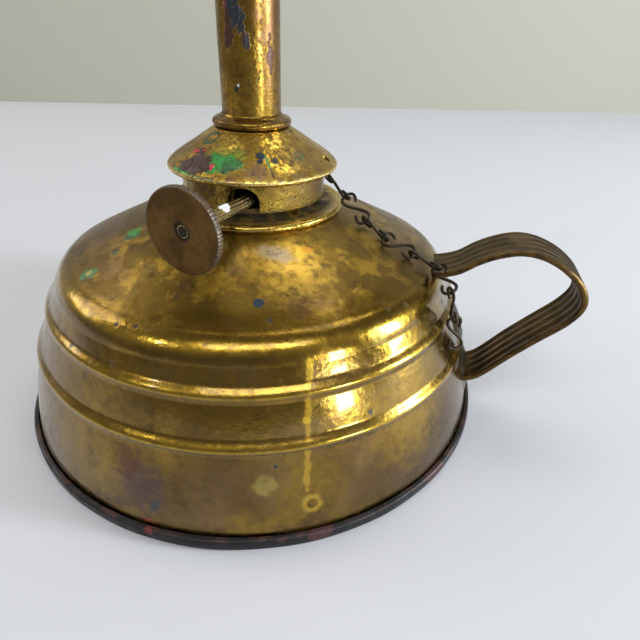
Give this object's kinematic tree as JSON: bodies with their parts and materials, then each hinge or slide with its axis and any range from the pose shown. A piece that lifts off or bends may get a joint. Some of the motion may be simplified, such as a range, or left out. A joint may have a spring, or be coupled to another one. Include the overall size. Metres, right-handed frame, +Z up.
{
  "type": "hand-held wick oil lamp",
  "caption": "Squat round brass hand lamp with a flared, beaded reservoir, strap handle, side wick knob on a fluted shaft, lift-off cone cover with a tall tube, and a chain.",
  "frame": {"origin": "centre of the base, on the surface the lamp stands on", "axes": "+Z up along the body's axis; +X towards the strap handle; the wick knob points towards -Y, 14 degrees towards -X"},
  "size_m": [0.1451, 0.125, 0.1285],
  "materials": {
    "body_brass": "aged, olive-brown patina with worn bright crests",
    "cover_brass": "aged, paint-splashed",
    "burner_brass": "dull, sooty",
    "shaft_brass": "fluted, greyed",
    "knob_brass": "dark brown patina",
    "handle_bronze": "dark brown, reeded",
    "base_iron": "black japanned tinplate",
    "solder": "dull grey solder",
    "gasket_leather": "matt",
    "wick_cotton": "woven cotton, charred at the tip",
    "chain_wire": "blackened wire"
  },
  "bodies": {
    "lamp": {"body_shell": "body_brass", "base_pan": "base_iron", "neck_collar": "body_brass", "handle_strap": "handle_bronze", "handle_solder_top": "solder", "handle_solder_foot": "solder", "burner_gasket": "gasket_leather", "burner_base": "burner_brass", "burner_gallery": "burner_brass", "wick_tube": "burner_brass", "vent_tube": "burner_brass", "shaft_bearing": "burner_brass", "bearing_bracket": "burner_brass", "shaft_ear": "burner_brass"},
    "knob": {"wick_shaft": "shaft_brass", "wick_wheel_outer": "burner_brass", "wick_wheel_inner": "burner_brass", "shaft_stop": "burner_brass", "knob_boss": "knob_brass", "knob_disc": "knob_brass", "knob_rivet": "knob_brass"},
    "wick": {"wick": "wick_cotton"},
    "cover": {"cover_skirt": "cover_brass", "cover_cone": "cover_brass", "cover_ring": "cover_brass", "cover_tube": "cover_brass", "cover_lip": "cover_brass", "chain_hook": "chain_wire"},
    "chain_run": {"chain_link_1": "chain_wire", "chain_link_2": "chain_wire", "chain_link_3": "chain_wire", "chain_link_4": "chain_wire"},
    "chain_tail": {"chain_link_5": "chain_wire", "chain_link_6": "chain_wire", "chain_link_7": "chain_wire"}
  },
  "joints": [
    {"name": "knob_turn", "type": "hinge", "parent": "lamp", "child": "knob", "pos_m": [0.00699, -0.00174, 0.0579], "axis": [0.2419, 0.9703, 0], "range_deg": [-130, 230]},
    {"name": "wick_raise", "type": "slide", "parent": "lamp", "child": "wick", "axis": [0, 0, 1], "range_m": [-0.008, 0.0141]},
    {"name": "cover_lift", "type": "slide", "parent": "lamp", "child": "cover", "axis": [0, 0, 1], "range_m": [0, 0.08]},
    {"name": "chain_run_hang", "type": "hinge", "parent": "cover", "child": "chain_run", "pos_m": [0.02369, -0.00023, 0.05616], "axis": [0, 1, 0], "range_deg": [0, 50]},
    {"name": "chain_tail_hang", "type": "hinge", "parent": "chain_run", "child": "chain_tail", "pos_m": [0.04753, -0.00736, 0.04388], "axis": [0, 1, 0], "range_deg": [-50, 0]}
  ],
  "couplings": [
    {"joint": "wick_raise", "follows": "knob_turn", "m_per_rad": 0.0035},
    {"joint": "chain_run_hang", "follows": "cover_lift", "rad_per_m": 10.9},
    {"joint": "chain_tail_hang", "follows": "cover_lift", "rad_per_m": -10.9}
  ]
}
